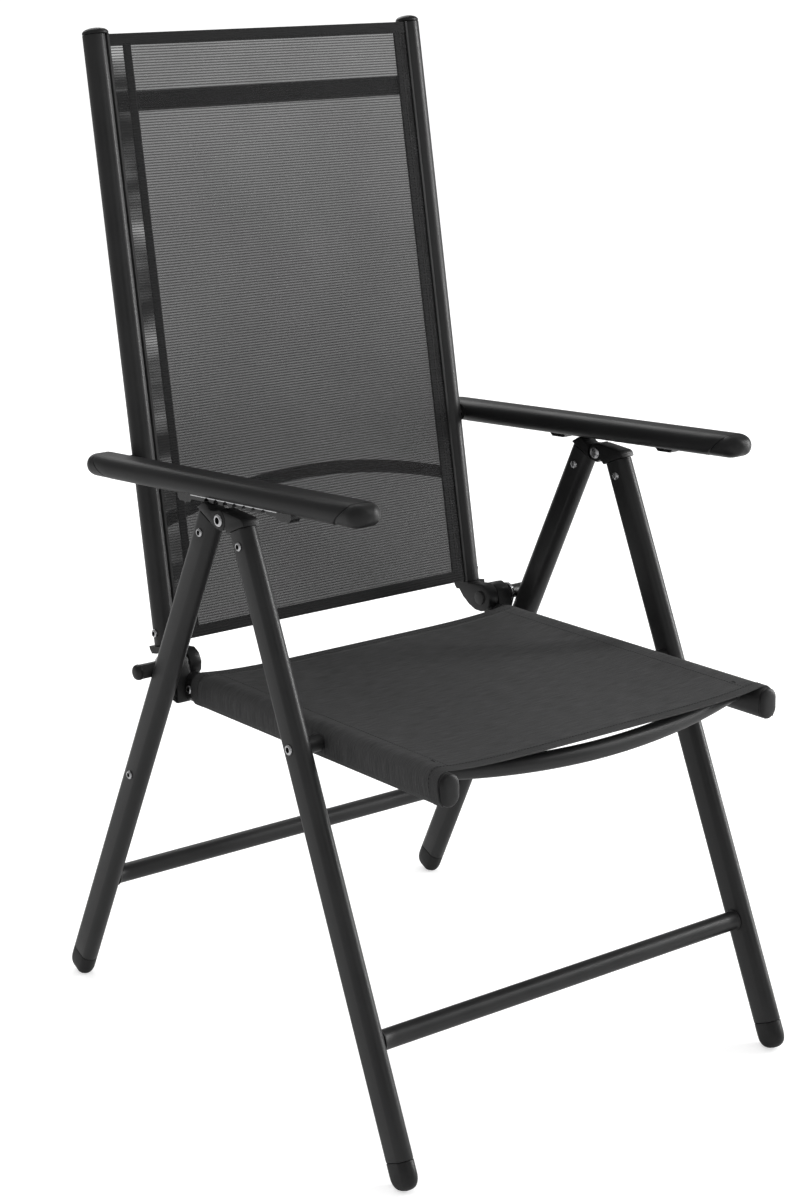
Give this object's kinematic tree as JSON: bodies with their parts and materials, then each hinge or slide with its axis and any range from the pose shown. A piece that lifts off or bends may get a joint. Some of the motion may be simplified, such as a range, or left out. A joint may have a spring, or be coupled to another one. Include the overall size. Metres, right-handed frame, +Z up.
{
  "type": "folding sling patio chair",
  "caption": "Folding high-back patio chair with a taut mesh sling back and seat, oval tube legs and long armrests that lock on notched racks to set the recline.",
  "frame": {"origin": "on the floor under the centre of the chair's box", "axes": "+Z up, the chair faces -Y, +X to the right as seen from the front"},
  "size_m": [0.5526, 0.656, 1.0709],
  "materials": {
    "powder_coat": "satin",
    "black_plastic": "matte",
    "arm_plastic": "matte",
    "bright_steel": "zinc plated",
    "back_mesh": "open woven coated mesh",
    "seat_mesh": "close woven coated mesh"
  },
  "bodies": {
    "rear_leg_frame": {"rear_leg_right": "powder_coat", "rear_leg_left": "powder_coat", "rear_foot_right": "black_plastic", "rear_foot_left": "black_plastic", "rear_crossbar": "powder_coat", "rear_leg_bracket_right": "bright_steel", "rear_leg_bracket_left": "bright_steel", "rear_bracket_rivet_right": "bright_steel", "rear_bracket_rivet_left": "bright_steel", "leg_pivot_rivet_right": "bright_steel", "leg_pivot_rivet_left": "bright_steel", "link_rivet_right": "bright_steel", "link_rivet_left": "bright_steel"},
    "front_leg_frame": {"front_leg_right": "powder_coat", "front_leg_left": "powder_coat", "front_foot_right": "black_plastic", "front_foot_left": "black_plastic", "front_crossbar": "powder_coat", "front_leg_bracket_right": "bright_steel", "front_leg_bracket_left": "bright_steel", "front_bracket_rivet_right": "bright_steel", "front_bracket_rivet_left": "bright_steel", "seat_pivot_bolt_right": "bright_steel", "seat_pivot_bolt_left": "bright_steel"},
    "seat_frame": {"seat_side_tube_right": "powder_coat", "seat_side_tube_left": "powder_coat", "seat_front_plug_right": "black_plastic", "seat_front_plug_left": "black_plastic", "seat_hinge_fitting_right": "black_plastic", "seat_hinge_fitting_left": "black_plastic", "seat_front_bow": "powder_coat", "seat_rear_bar": "powder_coat", "seat_fitting_rivet_right": "bright_steel", "seat_fitting_rivet_left": "bright_steel", "seat_sling": "seat_mesh"},
    "hinge_pins": {"hinge_pin_right": "powder_coat", "hinge_pin_left": "powder_coat", "hinge_pin_cap_right": "black_plastic", "hinge_pin_cap_left": "black_plastic"},
    "back_frame": {"back_side_tube_right": "powder_coat", "back_side_tube_left": "powder_coat", "back_top_cap_right": "black_plastic", "back_top_cap_left": "black_plastic", "back_hinge_fitting_right": "black_plastic", "back_hinge_fitting_left": "black_plastic", "back_upper_bar": "powder_coat", "back_lumbar_bow": "powder_coat", "back_fitting_rivet_right": "bright_steel", "back_fitting_rivet_left": "bright_steel", "back_sling": "back_mesh"},
    "side_links": {"side_link_right": "bright_steel", "side_link_left": "bright_steel"},
    "armrest_right_body": {"armrest_right": "arm_plastic", "armrest_rack_right": "bright_steel"},
    "armrest_left_body": {"armrest_left": "arm_plastic", "armrest_rack_left": "bright_steel"},
    "arm_bushes": {"armrest_bush_right": "black_plastic", "armrest_bush_left": "black_plastic"},
    "arm_bolts": {"armrest_bolt_right": "bright_steel", "armrest_bolt_left": "bright_steel"}
  },
  "joints": [
    {"name": "leg_fold", "type": "hinge", "parent": "rear_leg_frame", "child": "front_leg_frame", "pos_m": [0, -0.00141, 0.6041], "axis": [1, 0, 0], "range_deg": [0, 49.4]},
    {"name": "link_turn", "type": "hinge", "parent": "rear_leg_frame", "child": "side_links", "pos_m": [0, 0.16766, 0.27859], "axis": [1, 0, 0], "range_deg": [-148.8, 0]},
    {"name": "seat_turn", "type": "hinge", "parent": "side_links", "child": "seat_frame", "pos_m": [0, 0.13864, 0.40529], "axis": [1, 0, 0], "range_deg": [0, 101.5]},
    {"name": "hinge_pin_turn", "type": "hinge", "parent": "seat_frame", "child": "hinge_pins", "pos_m": [0, 0.13864, 0.40529], "axis": [1, 0, 0], "range_deg": [0, 83.5]},
    {"name": "recline", "type": "hinge", "parent": "hinge_pins", "child": "back_frame", "pos_m": [0, 0.13864, 0.40529], "axis": [1, 0, 0], "range_deg": [-30, 0]},
    {"name": "arm_fold", "type": "hinge", "parent": "back_frame", "child": "arm_bolts", "pos_m": [0, 0.21706, 0.61087], "axis": [1, 0, 0], "range_deg": [-96.2, 0]},
    {"name": "arm_level", "type": "hinge", "parent": "arm_bolts", "child": "arm_bushes", "pos_m": [0, 0.21706, 0.61087], "axis": [1, 0, 0], "range_deg": [0, 18.9]},
    {"name": "arm_lift_left", "type": "hinge", "parent": "arm_bushes", "child": "armrest_left_body", "pos_m": [0, 0.21706, 0.61087], "axis": [1, 0, 0], "range_deg": [-12, 0]},
    {"name": "arm_lift_right", "type": "hinge", "parent": "arm_bushes", "child": "armrest_right_body", "pos_m": [0, 0.21706, 0.61087], "axis": [1, 0, 0], "range_deg": [-12, 0]}
  ],
  "couplings": [
    {"joint": "link_turn", "follows": "leg_fold", "ratio": -3.0107},
    {"joint": "seat_turn", "follows": "leg_fold", "ratio": 2.0528},
    {"joint": "hinge_pin_turn", "follows": "leg_fold", "ratio": 1.6887},
    {"joint": "arm_fold", "follows": "leg_fold", "ratio": -1.9474},
    {"joint": "arm_level", "follows": "recline", "ratio": -0.62743}
  ]
}
